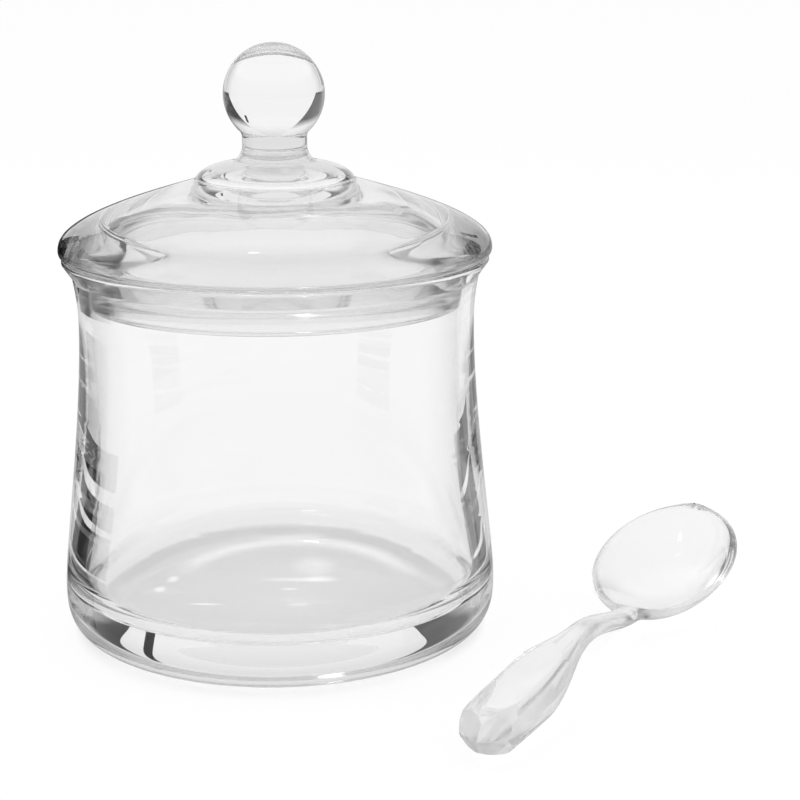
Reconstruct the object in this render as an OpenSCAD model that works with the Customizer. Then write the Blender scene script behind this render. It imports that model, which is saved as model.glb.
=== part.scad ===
// Clear glass jam pot with a lift-off lid and its own spoon.
// The foot stands on z = 0, the pot's axis is Z, and the spoon lies beside the pot.

/* [Pot] */
// Height of the pot from the table to its flat rim
pot_h = 79.2; // [70:0.2:100]
// Largest diameter, low on the body
belly_d = 90; // [86:0.5:110]
// Height of the largest diameter above the table
belly_h = 10.7; // [7:0.1:16]
// Diameter of the flat ground foot
foot_d = 66; // [50:0.5:80]
// Fullness of the heel's round, where 2 is a quarter of an ellipse
heel_fullness = 3; // [2:0.1:4]
// Outside diameter of the waist
waist_d = 80.8; // [79.6:0.1:82]
// Height of the waist above the table
waist_h = 66; // [56:0.5:70]
// Outside diameter of the crease under the lip
crease_d = 82.8; // [81.5:0.1:84]
// Height of the lip from its crease up to the rim
lip_h = 3.6; // [2.4:0.1:6]
// Outside diameter of the flared lip
lip_d = 86.8; // [85:0.1:90]
// Inside diameter of the mouth
mouth_d = 75.2; // [72:0.1:76.5]
// Inside diameter just above the round of the floor
cavity_d = 81; // [76.6:0.2:83]
// Height of the straight part of the mouth
mouth_h = 15; // [12:0.5:24]
// Thickness of the heavy floor
floor_t = 8.8; // [5:0.1:14]
// Radius of the round between floor and wall
floor_round = 6; // [3:0.5:9]
// Radius of the fire-polished edges of the rim
edge_r = 0.7; // [0.3:0.1:1]

/* [Lid] */
// Diameter over the thick bead of the lid
lid_d = 88; // [86:0.1:92]
// Height of the widest line of the bead above the rim
bead_h = 1.6; // [1:0.1:2.2]
// Diameter where the bead runs into the dome
shoulder_d = 79.4; // [74:0.2:83]
// Height of the shoulder above the rim
shoulder_h = 6.7; // [5:0.1:8]
// Diameter of the foot of the collar that carries the knob
collar_d = 32.4; // [28:0.2:40]
// Height of the collar's foot above the rim
collar_foot_h = 15.1; // [13.5:0.1:17]
// Height of the collar above its foot
collar_h = 3.7; // [2.5:0.1:5]
// Depth of the ring that locates the lid in the mouth
plug_h = 9.2; // [5:0.1:11]
// Wall of the locating ring
plug_wall = 3.4; // [2.4:0.1:5]
// Radial clearance between the locating ring and the mouth
plug_clearance = 0.6; // [0.3:0.05:1]
// Height of the hollow under the dome above the rim
hollow_h = 11.3; // [9:0.1:12]
// Height of the hollow's upright side above the rim
hollow_side_h = 2.8; // [1:0.1:4]

/* [Knob] */
// Diameter of the ball
ball_d = 20.4; // [16:0.1:26]
// Diameter of the neck under the ball
neck_d = 13.1; // [9:0.1:15]
// Diameter of the neck's foot on the collar
neck_foot_d = 17; // [15.2:0.1:20]
// Height of the ball's centre above the collar
ball_h = 13.5; // [11:0.1:18]

/* [Spoon] */
// Length of the facet-cut handle
handle_l = 50; // [40:1:70]
// Width of the handle at its widest
handle_w = 13.4; // [9:0.1:18]
// Thickness of the handle at its thickest
handle_t = 10.2; // [7:0.1:13]
// Length over which the handle's end is rounded
handle_end_l = 11; // [6:0.5:14]
// Height of the handle's axis where it arches over into the neck
arch_h = 8.8; // [6.5:0.1:12]
// Length of the neck between handle and bowl
neck_l = 27; // [18:1:36]
// Width of the spoon's neck
spoon_neck_w = 5.4; // [4:0.1:8]
// Thickness of the spoon's neck
spoon_neck_t = 3.8; // [2.8:0.1:6]
// Length of the bowl
bowl_l = 42; // [34:0.5:54]
// Width of the bowl
bowl_w = 29.8; // [22:0.2:36]
// Depth of the bowl below its rim
bowl_depth = 7.6; // [6:0.1:10]
// Wall of the bowl
bowl_wall = 2.2; // [1.4:0.1:3]
// Tilt of the bowl's rim, tip upwards
bowl_tilt = 17.5; // [8:0.5:24]
// Height by which the neck comes in above the bowl's rim
heel_rise = 1.6; // [0:0.1:3]
// Direction in which the spoon points on the table
spoon_turn = 62.8; // [40:0.1:90]
// Distance from the pot's side to the middle of the bowl
spoon_away = 37.7; // [32:0.5:60]
// Distance from the pot's axis back to the middle of the bowl
spoon_back = 10.2; // [0:0.2:20]

/* [Hidden] */
$fn = 96;

// Clear glass and clear acrylic, as the set is coloured
glass_color = [0.86, 0.89, 0.90, 0.45];
acrylic_color = [0.90, 0.92, 0.93, 0.50];

// Steps along a long curve and along a short one
long_steps = 14;
short_steps = 7;

// Radii of the pot
belly_r = belly_d / 2;
foot_r = foot_d / 2;
waist_r = waist_d / 2;
crease_r = crease_d / 2;
lip_r = lip_d / 2;
mouth_r = mouth_d / 2;
cavity_r = cavity_d / 2;
crease_z = pot_h - lip_h;
wall_rise = waist_h - belly_h;
flare_rise = crease_z - waist_h;
mouth_foot_z = pot_h - mouth_h;
cavity_foot_z = floor_t + floor_round;
cavity_rise = mouth_foot_z - cavity_foot_z;
// How far the wall's curve keeps upright at the belly and at the waist
wall_pull_shares = [0.125, 0.346];
// How far the flare keeps upright at the waist, and how far it leans at the crease
flare_pull_shares = [0.45, 0.28];
flare_lean_share = 0.55;
// How far the cavity's curve keeps upright at its foot and at the mouth
cavity_pull_shares = [0.1, 0.75];

// Lid, measured up from the pot's rim
lid_r = lid_d / 2;
shoulder_r = shoulder_d / 2;
collar_r = collar_d / 2;
seat_z = pot_h;
bead_z = seat_z + bead_h;
shoulder_z = seat_z + shoulder_h;
collar_foot_z = seat_z + collar_foot_h;
collar_z = collar_foot_z + collar_h;
hollow_z = seat_z + hollow_h;
hollow_side_z = seat_z + hollow_side_h;
plug_r = mouth_r - plug_clearance;
plug_in_r = plug_r - plug_wall;
plug_z = seat_z - plug_h;
plug_edge_share = 0.35;
plug_edge_r = plug_wall * plug_edge_share;
// Shares of the bead's rise and run that hold its upper curve
bead_pull_shares = [0.42, 0.34, 0.68];
// Shares of the dome's run and rise that give its ogee
dome_run_shares = [0.28, 0.66];
dome_rise_shares = [0.42, 0.70];
// Shares of the collar's run and height that round its shoulder
collar_run_shares = [0.06, 0.34];
collar_rise_shares = [0.42, 0.82];
// Shares of the hollow's run and rise that shape its roof, from its level top to the edge over its side
hollow_run_shares = [0.50, 0.80];
hollow_rise_share = 0.62;

// Knob, measured up from the collar's flat top
ball_r = ball_d / 2;
neck_r = neck_d / 2;
neck_foot_r = neck_foot_d / 2;
ball_z = collar_z + ball_h;
neck_meet_z = ball_z - sqrt(ball_r * ball_r - neck_r * neck_r);
// Shares of the neck's rise that shape its foot, and where its straight stretch starts
neck_foot_rise_share = 0.55;
neck_pull_shares = [0.2, 0.7];

// Spoon: points round one section, and steps along each stretch
section_points = 32;
handle_steps = 8;
neck_steps = 5;
bowl_steps = 17;
// Height at which the spoon lies clear of the table
spoon_lift = 0.1;
// Where the handle is widest, and how much of its width the end keeps
handle_widest_share = 0.40;
handle_taper_share = 0.12;
// First angle and step of the end rings, and first and last angle of the bowl's rings
end_ring_first = 14;
end_ring_step = 19;
bowl_ring_first = 12;
bowl_ring_last = 176;
// Corners of the cut handle as shares of its half width and half thickness
facet_side_share = 0.34;
facet_top_share = 0.56;
// Sharpness of the section's edge on the neck and on the bowl
neck_edge_power = 2;
bowl_edge_power = 7;
// Point of the bowl that touches the table, counted from its middle in half lengths
bowl_half = bowl_l / 2;
touch_share = -bowl_half * tan(bowl_tilt) / (2 * bowl_depth);
touch_drop = bowl_wall + bowl_depth * (1 - touch_share * touch_share);
heel_z = spoon_lift + cos(bowl_tilt) * touch_drop - bowl_half * sin(bowl_tilt) * (1 + touch_share);
handle_z = spoon_lift + handle_t / 2;
arch_z = spoon_lift + arch_h;
heel_x = handle_l + neck_l;

// Curves leave out their first point, which the stretch before them already gives

// Points along a cubic curve from a to d, pulled by b and c
function curve(a, b, c, d, steps) = [
    for (i = [1 : steps])
        let (t = i / steps, s = 1 - t)
            s * s * s * a + 3 * s * s * t * b + 3 * s * t * t * c + t * t * t * d
];

// Points along a quarter of an ellipse round a centre
function quarter(centre, half_r, half_z, from_angle, to_angle, steps) = [
    for (i = [1 : steps])
        let (a = from_angle + (to_angle - from_angle) * i / steps)
            [centre[0] + half_r * cos(a), centre[1] + half_z * sin(a)]
];

// Points along the heel, from the foot's edge up to the belly
function heel(steps) = [
    for (i = [1 : steps])
        let (a = 90 * i / steps, bend = 2 / heel_fullness)
            [mix(foot_r, belly_r, pow(sin(a), bend)), belly_h * (1 - pow(cos(a), bend))]
];

// Value between two others
function mix(a, b, share) = a + (b - a) * share;

// Share that starts and ends level
function ease(t) = t * t * (3 - 2 * t);

// Section of the pot: foot, heel, wall, flared lip, mouth, cavity and floor
function pot_outline() = concat(
    [[0, 0], [foot_r, 0]],
    heel(long_steps),
    curve([belly_r, belly_h], [belly_r, belly_h + wall_rise * wall_pull_shares[0]],
          [waist_r, waist_h - wall_rise * wall_pull_shares[1]], [waist_r, waist_h], long_steps),
    curve([waist_r, waist_h], [waist_r, waist_h + flare_rise * flare_pull_shares[0]],
          [mix(waist_r, crease_r, flare_lean_share), crease_z - flare_rise * flare_pull_shares[1]],
          [crease_r, crease_z], short_steps),
    [[lip_r, pot_h - edge_r]],
    quarter([lip_r - edge_r, pot_h - edge_r], edge_r, edge_r, 0, 90, short_steps),
    [[mouth_r + edge_r, pot_h]],
    quarter([mouth_r + edge_r, pot_h - edge_r], edge_r, edge_r, 90, 180, short_steps),
    [[mouth_r, mouth_foot_z]],
    curve([mouth_r, mouth_foot_z], [mouth_r, mouth_foot_z - cavity_rise * cavity_pull_shares[1]],
          [cavity_r, cavity_foot_z + cavity_rise * cavity_pull_shares[0]],
          [cavity_r, cavity_foot_z], long_steps),
    quarter([cavity_r - floor_round, cavity_foot_z], floor_round, floor_round, 0, -90, short_steps),
    [[0, floor_t]]
);

// Section of the lid: locating ring, seat, bead, dome, collar and hollow
function lid_outline() = concat(
    [[plug_in_r, plug_z + plug_edge_r]],
    quarter([plug_in_r + plug_edge_r, plug_z + plug_edge_r], plug_edge_r, plug_edge_r,
            180, 270, short_steps),
    [[plug_r - plug_edge_r, plug_z]],
    quarter([plug_r - plug_edge_r, plug_z + plug_edge_r], plug_edge_r, plug_edge_r,
            -90, 0, short_steps),
    [[plug_r, seat_z], [lid_r - bead_h, seat_z]],
    quarter([lid_r - bead_h, bead_z], bead_h, bead_h, -90, 0, short_steps),
    curve([lid_r, bead_z], [lid_r, mix(bead_z, shoulder_z, bead_pull_shares[0])],
          [mix(shoulder_r, lid_r, bead_pull_shares[2]), mix(shoulder_z, bead_z, bead_pull_shares[1])],
          [shoulder_r, shoulder_z], short_steps),
    curve([shoulder_r, shoulder_z],
          [mix(shoulder_r, collar_r, dome_run_shares[0]),
           mix(shoulder_z, collar_foot_z, dome_rise_shares[0])],
          [mix(shoulder_r, collar_r, dome_run_shares[1]),
           mix(shoulder_z, collar_foot_z, dome_rise_shares[1])],
          [collar_r, collar_foot_z], long_steps),
    curve([collar_r, collar_foot_z],
          [mix(collar_r, neck_foot_r, collar_run_shares[0]),
           mix(collar_foot_z, collar_z, collar_rise_shares[0])],
          [mix(collar_r, neck_foot_r, collar_run_shares[1]),
           mix(collar_foot_z, collar_z, collar_rise_shares[1])],
          [neck_foot_r, collar_z], short_steps),
    [[0, collar_z], [0, hollow_z]],
    curve([0, hollow_z], [plug_in_r * hollow_run_shares[0], hollow_z],
          [plug_in_r * hollow_run_shares[1], mix(hollow_side_z, hollow_z, hollow_rise_share)],
          [plug_in_r, hollow_side_z], long_steps)
);

// Section of the knob's neck, up to the ball's centre line
function neck_outline() =
    let (straight_z = mix(collar_z, neck_meet_z, neck_foot_rise_share))
    concat(
        [[0, collar_z], [neck_foot_r, collar_z]],
        curve([neck_foot_r, collar_z],
              [mix(neck_foot_r, neck_r, neck_pull_shares[1]),
               mix(collar_z, straight_z, neck_pull_shares[0])],
              [neck_r, mix(collar_z, straight_z, neck_pull_shares[1])],
              [neck_r, straight_z], short_steps),
        [[neck_r, neck_meet_z], [0, ball_z]]
    );

module pot() {
    color(glass_color)
        rotate_extrude()
            polygon(pot_outline());
}

module lid() {
    color(glass_color)
        rotate_extrude()
            polygon(lid_outline());
}

module lid_knob() {
    color(glass_color)
        union() {
            translate([0, 0, ball_z])
                sphere(r = ball_r);
            rotate_extrude()
                polygon(neck_outline());
        }
}

// Swell of the handle along its length: 1 at its widest, 0 where the neck starts
function swell(t) = t < handle_widest_share
    ? 1 - handle_taper_share * pow((handle_widest_share - t) / handle_widest_share, 2)
    : (1 + cos(180 * (t - handle_widest_share) / (1 - handle_widest_share))) / 2;

// Corners of the cut handle's section, for a half width and a half thickness of 1
facet_corners = [
    [1, facet_side_share], [facet_top_share, 1], [-facet_top_share, 1], [-1, facet_side_share],
    [-1, -facet_side_share], [-facet_top_share, -1], [facet_top_share, -1], [1, -facet_side_share]
];

// One point on the cut section, where the section starts in the middle of its right side
function facet_point(k) =
    let (n = len(facet_corners), at = k * n / section_points + 0.5, i = floor(at))
        mix(facet_corners[(i + n - 1) % n], facet_corners[i % n], at - i);

// How much an edge rounds off across a section: 0 in the middle, 1 at the edge
function edge_fall(y_share, power) = 1 - sqrt(max(0, 1 - pow(abs(y_share), power)));

// Depth of the bowl's hollow below its rim, at shares of the half length and half width
function hollow_at(u, v) = bowl_depth * max(0, 1 - u * u - v * v);

// One point of a rounded section: y across, z from the rim plane downwards
function round_point(k, half_w, thick, power, u) =
    let (a = 360 * k / section_points,
         y = half_w * cos(a),
         fall = thick / 2 * edge_fall(cos(a), power),
         top = -hollow_at(u, 2 * y / bowl_w))
        [y, sin(a) >= 0 ? top - fall : top - thick + fall];

// Ring of points across the spoon, at a place along it and turned by the pitch there
function placed_ring(x, z, pitch, ring) = [
    for (p = ring) [x - p[1] * sin(pitch), p[0], z + p[1] * cos(pitch)]
];

// Cut ring of the handle
function handle_ring(x, end_share) =
    let (t = x / handle_l,
         half_w = mix(spoon_neck_w, handle_w, swell(t)) / 2 * end_share,
         half_t = mix(spoon_neck_t, handle_t, swell(t)) / 2 * end_share,
         z = mix(handle_z, arch_z, ease(t)))
        placed_ring(x, z, 0, [
            for (k = [0 : section_points - 1])
                let (p = facet_point(k)) [p[0] * half_w, p[1] * half_t]
        ]);

// Ring of the neck, which changes from the cut section to the rounded one
function neck_ring(t) =
    placed_ring(handle_l + neck_l * t, mix(arch_z + spoon_neck_t / 2, heel_z + heel_rise, ease(t)),
                bowl_tilt * t * t, [
        for (k = [0 : section_points - 1])
            let (cut = facet_point(k),
                 c = [cut[0] * spoon_neck_w / 2, (cut[1] - 1) * spoon_neck_t / 2],
                 r = round_point(k, spoon_neck_w / 2, spoon_neck_t, neck_edge_power, 1))
                mix(c, r, t)
    ]);

// Ring of the bowl at an angle that runs from the heel to the tip
function bowl_ring(angle) =
    let (u = -cos(angle),
         heel_share = angle < 90 ? pow(1 - sin(angle), 2) : 0,
         plan = bowl_w / 2 * sin(angle),
         half_w = pow(pow(plan, 3) + pow(spoon_neck_w / 2 * (angle < 90 ? cos(angle) : 0), 3), 1 / 3),
         thick = mix(bowl_wall, spoon_neck_t, heel_share),
         power = mix(bowl_edge_power, neck_edge_power, heel_share),
         along = bowl_half * (1 + u),
         rim_z = heel_z + along * sin(bowl_tilt) + heel_rise * heel_share)
        placed_ring(heel_x + along * cos(bowl_tilt), rim_z, bowl_tilt, [
            for (k = [0 : section_points - 1])
                round_point(k, half_w, thick, power, u)
        ]);

// All rings of the spoon, from the end of the handle to the tip of the bowl
function spoon_rings() = concat(
    [for (a = [end_ring_first : end_ring_step : 90])
        handle_ring(handle_end_l * (1 - cos(a)), sin(a))],
    [for (i = [0 : handle_steps - 1])
        handle_ring(mix(handle_end_l, handle_l, i / handle_steps), 1)],
    [for (i = [0 : neck_steps - 1]) neck_ring(i / neck_steps)],
    [for (i = [0 : bowl_steps])
        bowl_ring(mix(bowl_ring_first, bowl_ring_last, i / bowl_steps))]
);

// Middle of a ring of points
function middle(ring) = [for (axis = [0 : 2]) [for (p = ring) p[axis]] * [for (p = ring) 1 / len(ring)]];

// Closed skin over a stack of rings, with a fan from the middle of each end
module skin(rings) {
    n = section_points;
    last = len(rings) - 1;
    points = concat([for (ring = rings) each ring], [middle(rings[0]), middle(rings[last])]);
    first_middle = len(points) - 2;
    last_middle = len(points) - 1;
    sides = [
        for (j = [0 : last - 1], k = [0 : n - 1], half = [0, 1])
            let (a = j * n + k, b = j * n + (k + 1) % n)
                half == 0 ? [a, b, b + n] : [a, b + n, a + n]
    ];
    first_end = [for (k = [0 : n - 1]) [first_middle, (k + 1) % n, k]];
    last_end = [for (k = [0 : n - 1]) [last_middle, last * n + k, last * n + (k + 1) % n]];
    polyhedron(points, concat(sides, first_end, last_end));
}

module spoon() {
    bowl_mid_x = heel_x + bowl_half * cos(bowl_tilt);
    color(acrylic_color)
        translate([belly_r + spoon_away, spoon_back, 0])
            rotate([0, 0, spoon_turn])
                translate([-bowl_mid_x, 0, 0])
                    skin(spoon_rings());
}

pot();
lid();
lid_knob();
spoon();
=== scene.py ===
# Jam pot of clear glass with a lift-off lid and a facet-cut spoon
import math

import bmesh
import bpy
from mathutils import Matrix, Vector, noise
from mathutils.geometry import interpolate_bezier


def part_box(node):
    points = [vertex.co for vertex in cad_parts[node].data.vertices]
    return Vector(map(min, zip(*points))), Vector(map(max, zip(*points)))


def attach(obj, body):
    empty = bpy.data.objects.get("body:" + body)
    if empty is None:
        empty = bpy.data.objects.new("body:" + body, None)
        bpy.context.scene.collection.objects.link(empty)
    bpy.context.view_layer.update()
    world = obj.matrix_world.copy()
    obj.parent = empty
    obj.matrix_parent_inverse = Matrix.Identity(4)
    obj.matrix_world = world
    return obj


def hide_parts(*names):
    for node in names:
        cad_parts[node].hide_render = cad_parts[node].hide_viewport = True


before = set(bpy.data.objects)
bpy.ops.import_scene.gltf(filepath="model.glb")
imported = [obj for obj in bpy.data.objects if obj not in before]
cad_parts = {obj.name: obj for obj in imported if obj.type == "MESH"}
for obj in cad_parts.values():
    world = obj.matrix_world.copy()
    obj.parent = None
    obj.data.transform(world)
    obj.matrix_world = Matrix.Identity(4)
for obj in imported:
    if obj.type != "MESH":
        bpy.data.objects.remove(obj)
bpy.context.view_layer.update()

# Sizes are in millimetres and become metres when a mesh is finished
MM = 0.001

# Pot: foot, heel, wall, flared lip, mouth, cavity and floor
pot_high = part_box("pot")[1]
pot_h = pot_high[2] / MM
belly_r = pot_high[0] / MM
belly_h = 10.7
foot_r = 33.0
heel_fullness = 3.0
waist_r = 40.4
waist_h = 66.0
crease_r = 41.4
lip_h = 3.6
lip_r = 43.4
mouth_r = 37.6
mouth_h = 15.0
cavity_r = 40.5
floor_t = 8.8
floor_round = 6.0
rim_round = 0.7
crease_round = 0.5
wall_pull_shares = (0.125, 0.346)
flare_pull_shares = (0.45, 0.28)
flare_lean_share = 0.55
cavity_pull_shares = (0.1, 0.75)

# Lid, measured up from the pot's rim
lid_r = 44.0
bead_h = 1.6
shoulder_r = 39.7
shoulder_h = 6.7
collar_r = 16.2
collar_foot_h = 15.1
collar_h = 3.7
plug_h = 9.2
plug_wall = 3.4
plug_clearance = 0.6
hollow_h = 11.3
seat_gap = 0.12
plug_edge_share = 0.35
bead_pull_shares = (0.42, 0.34, 0.68)
dome_run_shares = (0.28, 0.66)
dome_rise_shares = (0.42, 0.70)
collar_run_shares = (0.06, 0.34)
collar_rise_shares = (0.42, 0.82)
hollow_side_h = 2.8
hollow_round = 1.2
hollow_run_shares = (0.80, 0.50)
hollow_rise_share = 0.62

# Knob, measured up from the collar's top
ball_r = 10.2
neck_r = 6.55
neck_foot_r = 8.5
ball_h = 13.5
neck_fillet = 0.8
neck_foot_rise_share = 0.55
neck_pull_shares = (0.2, 0.7)

# Spoon, along its own length from the handle's end
handle_l = 50.0
handle_w = 13.4
handle_t = 10.2
handle_end_l = 11.0
arch_h = 8.8
neck_l = 27.0
spoon_neck_w = 5.4
spoon_neck_t = 3.8
bowl_l = 42.0
bowl_w = 29.8
bowl_depth = 7.6
bowl_wall = 2.2
bowl_tilt = math.radians(17.5)
heel_rise = 1.6
spoon_lift = 0.1
spoon_turn = math.radians(62.8)
spoon_away = 37.7
spoon_back = 10.2
handle_widest_share = 0.40
handle_taper_share = 0.12
handle_power = 2.5
neck_edge_power = 2
bowl_edge_power = 7
bowl_blend_power = 3
bowl_first = math.radians(12)
bowl_last = math.radians(177)

# Facets cut on the handle: direction that each faces, and its depth below the smooth form
handle_facets = (
    ((-0.06, 0.00, 1.00), 1.1),
    ((-0.03, -0.80, 0.60), 0.9),
    ((-0.03, 0.80, 0.60), 0.9),
    ((-0.03, -0.80, -0.60), 0.9),
    ((-0.03, 0.80, -0.60), 0.9),
    ((-0.72, 0.50, 0.48), 1.3),
    ((-0.72, -0.50, 0.48), 1.1),
    ((-0.70, 0.52, -0.50), 1.1),
    ((-0.70, -0.52, -0.50), 1.1),
)

# Worked inner walls: the pot's tool rings, the waver of pot and lid, and how level the pot's floor faces up
ring_heights = (25.4, 31.0, 40.6, 47.0)
ring_width = 0.6
ring_depth = 0.006
wall_waver = 0.012
hollow_waver = 0.08
waver_length = 14.0
floor_facing = 0.5

# Steps of the meshes, half of a unit square, and the gap that is merged
turn_steps = 192
long_steps = 40
wall_steps = 160
short_steps = 14
ball_steps = 48
section_points = 96
end_steps = 28
handle_steps = 30
neck_steps = 16
bowl_steps = 48
table_steps = 96
unit_half = 0.5
merge_gap = 0.001

# Camera, in metres, at the height and tilt of the photograph
camera_place = (0.02523, -0.40283, 0.15090)
camera_tilt = math.radians(75.7)
camera_lens = 90.0
camera_sensor = 36.0

# Greys of the surroundings, from the horizon to overhead, by the sine of their height
sky_greys = ((0.0, 1.0), (0.45, 1.0), (0.62, 0.86), (0.80, 0.92), (1.0, 0.96))
sky_light = 0.98

# Soft lamp above, in metres and watts
lamp_place = (-0.15, -0.25, 0.95)
lamp_target = (0, 0, 0.05)
lamp_size = 0.10
lamp_power = 2.0

# Table, in metres, its grey, and the share of it that shows as plain white
table_r = 4.0
table_drop = 0.0003
table_grey = 0.94
table_white_share = 0.8

# Most bounces of light: in all, on mirrors and through glass
most_bounces = 32
mirror_bounces = 24
glass_bounces = 32

# Cards beside the pot, in metres: their two ends on the table, lowest and highest edge, lean in degrees, grey
cards = (
    ("card_left_foot", (-0.053, -0.020), (-0.053, 0.0135), -0.001, 0.0128, 0, 0.02),
    ("card_left_low", (-0.053, -0.020), (-0.053, 0.0135), 0.0140, 0.0215, 0, 0.02),
    ("card_left_mid", (-0.053, -0.020), (-0.053, 0.0135), 0.0228, 0.0268, 0, 0.03),
    ("card_left_high", (-0.053, -0.020), (-0.053, 0.0135), 0.0292, 0.036, 0, 0.03),
    ("card_left_wall", (-0.053, -0.012), (-0.053, 0.012), 0.036, 0.060, 0, 0.68),
    ("card_left_bead", (-0.060, -0.014), (-0.060, 0.032), 0.066, 0.100, 0, 0.01),
    ("card_right_foot", (0.061, 0.004), (0.061, 0.036), -0.001, 0.0125, 0, 0.20),
    ("card_right_low", (0.061, 0.004), (0.061, 0.036), 0.0138, 0.0225, 0, 0.20),
    ("card_right_high", (0.061, 0.004), (0.061, 0.036), 0.0240, 0.0345, 0, 0.20),
    ("card_right_wall", (0.061, 0.004), (0.061, 0.036), 0.0362, 0.062, 0, 0.95),
    ("frame_line", (1.075, 2.801), (1.205, 2.748), 0.86, 1.30, 4, 0.0),
)

# Cards that show only as a mirrored dark on outer surfaces, in the same form
mirror_cards = (
    ("card_ball", (-0.120, 0.030), (-0.030, 0.118), 0.050, 0.086, 0, 0.02),
)

# Curved surround, open to the back, in metres: its ends lean from a bearing at the table to one higher up
surround_r = 1.5
surround_h = 1.4
surround_gap = math.radians(8)
surround_steps = 96
surround_fade = (0.66, 0.95)
lean_eye = 0.08
lean_foot = math.radians(45)
lean_head = math.radians(26)
lean_rise = math.radians(23)
lean_border = (0.09, 0.12)

# Greys of the surround: from its front behind the camera to its ends, inside its ends by height, on its left
surround_greys = ((0.0, 0.8), (0.4, 0.7), (0.5, 0.55), (0.64, 0.45), (0.74, 0.03), (1.0, 0.02))
end_greys = ((0.0, 0.02), (0.21, 0.02), (0.25, 0.05), (0.31, 0.05), (0.35, 0.02))
surround_left_grey = 0.12
surround_left_share = 0.5

# Painted light on the table under the pot, in metres: shade, dark edge under the heel, crescent, streaks
shade_r = 0.045
shade_greys = ((0.0, 0.86), (0.72, 0.78), (0.80, 1.0))
edge_greys = ((0.74, 0.0), (0.82, 0.30), (0.90, 0.32), (0.97, 0.0))
edge_from = -0.028
edge_full = -0.004
edge_front_share = 0.25
crescent_place = (0.0023, 0.0058)
crescent_r = 0.027
crescent_w = 0.0042
crescent_from = 0.012
crescent_full = 0.022
crescent_light = 0.42
streak_r = 0.032
streak_scale = (32, 150, 1)
streak_detail = 2.0
streak_range = (0.58, 0.72)
streak_inner_share = 0.9
streak_light = 0.16

# Share of the table's white that outer surfaces mirror
mirrored_share = 0.42

# Painted glints of light on the table under the pot, in metres: place, half of the length and width, light;
# and how they fade
glints = (
    ((0.0030, 0.0100), (0.0110, 0.0016), 0.34),
    ((0.0080, 0.0105), (0.0048, 0.0026), 0.34),
    ((0.0015, 0.0045), (0.0026, 0.0010), 0.45),
    ((0.0040, -0.0055), (0.0034, 0.0016), 0.32),
    ((-0.0158, -0.0055), (0.0046, 0.0010), 0.60),
    ((0.0060, 0.0180), (0.0065, 0.0075), 0.24),
    ((-0.0267, 0.0046), (0.0018, 0.0026), 0.55),
    ((-0.0248, 0.0110), (0.0018, 0.0026), 0.55),
)
glint_fade = (1.0, 0.3)

# Unevenness that the clear pieces share: waves, and finger marks with the range in which they show
wave_detail = 1.0
wave_roughness = 0.4
mark_scale = 45.0
mark_detail = 5.0
mark_roughness = 0.6
mark_range = (0.45, 0.8)

# Light through the clear pieces: tint of shadows, tint in depth, and the painted shade at grazing edges with
# its range
shadow_tint = (0.93, 0.935, 0.935, 1.0)
depth_tint = (0.5, 0.505, 0.505, 1.0)
painted_edge_shade = 0.1
facing_blend = 0.5
grazing_range = (0.45, 0.95)

# Finishes of the clear pieces; painted edge shade, ground seat and greys go by the height in millimetres
pot_finish = {
    "ior": 1.5,
    "wave_scale": 40.0,
    "wave_height": 0.06,
    "clear_grey": 0.985,
    "cloudy_grey": 0.96,
    "roughest": 0.03,
    "absorption": 2.0,
    "edge": ((0.0, 0.4), (80.0, 0.4)),
    "ground": (78.3, 78.8, 0.08),
    "greys": ((0.0, 0.86), (7.5, 0.86), (10.5, 1.0), (79.2, 1.0)),
}
lid_finish = {
    "ior": 1.5,
    "wave_scale": 110.0,
    "wave_height": 0.08,
    "clear_grey": 0.985,
    "cloudy_grey": 0.96,
    "roughest": 0.03,
    "absorption": 1.6,
    "edge": ((70.0, 0.6), (106.0, 0.6), (107.0, 1.0), (122.0, 1.0)),
    "ground": (79.4, 79.0, 0.09),
    "greys": (
        (70.0, 0.96),
        (79.0, 0.96),
        (80.5, 0.81),
        (85.5, 0.81),
        (87.5, 1.0),
        (95.0, 1.0),
        (97.0, 0.79),
        (104.5, 0.79),
        (106.0, 0.96),
        (122.0, 0.96),
    ),
}
spoon_finish = {
    "ior": 1.49,
    "wave_scale": 70.0,
    "wave_height": 0.05,
    "clear_grey": 0.935,
    "cloudy_grey": 0.89,
    "roughest": 0.4,
    "absorption": 4.0,
    "edge": ((0.0, 0.2), (80.0, 0.2)),
    "ground": (0.0, 1.0, 0.0),
    "greys": ((0.0, 1.0), (80.0, 1.0)),
}


def curve(a, b, c, d, steps):
    """Points along a cubic curve from a to d, without the first one."""
    return interpolate_bezier(Vector(a), Vector(b), Vector(c), Vector(d), steps + 1)[1:]


def arc(centre, half_r, half_z, start, end, steps):
    """Points along an arc of an ellipse, from one angle to another in degrees, without the first one."""
    points = []
    for i in range(1, steps + 1):
        angle = math.radians(start + (end - start) * i / steps)
        points.append(Vector((centre[0] + half_r * math.cos(angle), centre[1] + half_z * math.sin(angle))))
    return points


def mix(a, b, share):
    """Value between two others."""
    return a + (b - a) * share


def ease(t):
    """Share that starts and ends level."""
    return t * t * (3 - 2 * t)


def heel(steps):
    """Points along the heel, from the foot's edge up to the belly."""
    points = []
    bend = 2 / heel_fullness
    for i in range(1, steps + 1):
        angle = math.pi / 2 * i / steps
        out = math.sin(angle) ** bend
        rise = 1 - max(0, math.cos(angle)) ** bend
        points.append(Vector((mix(foot_r, belly_r, out), belly_h * rise)))
    return points


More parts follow.
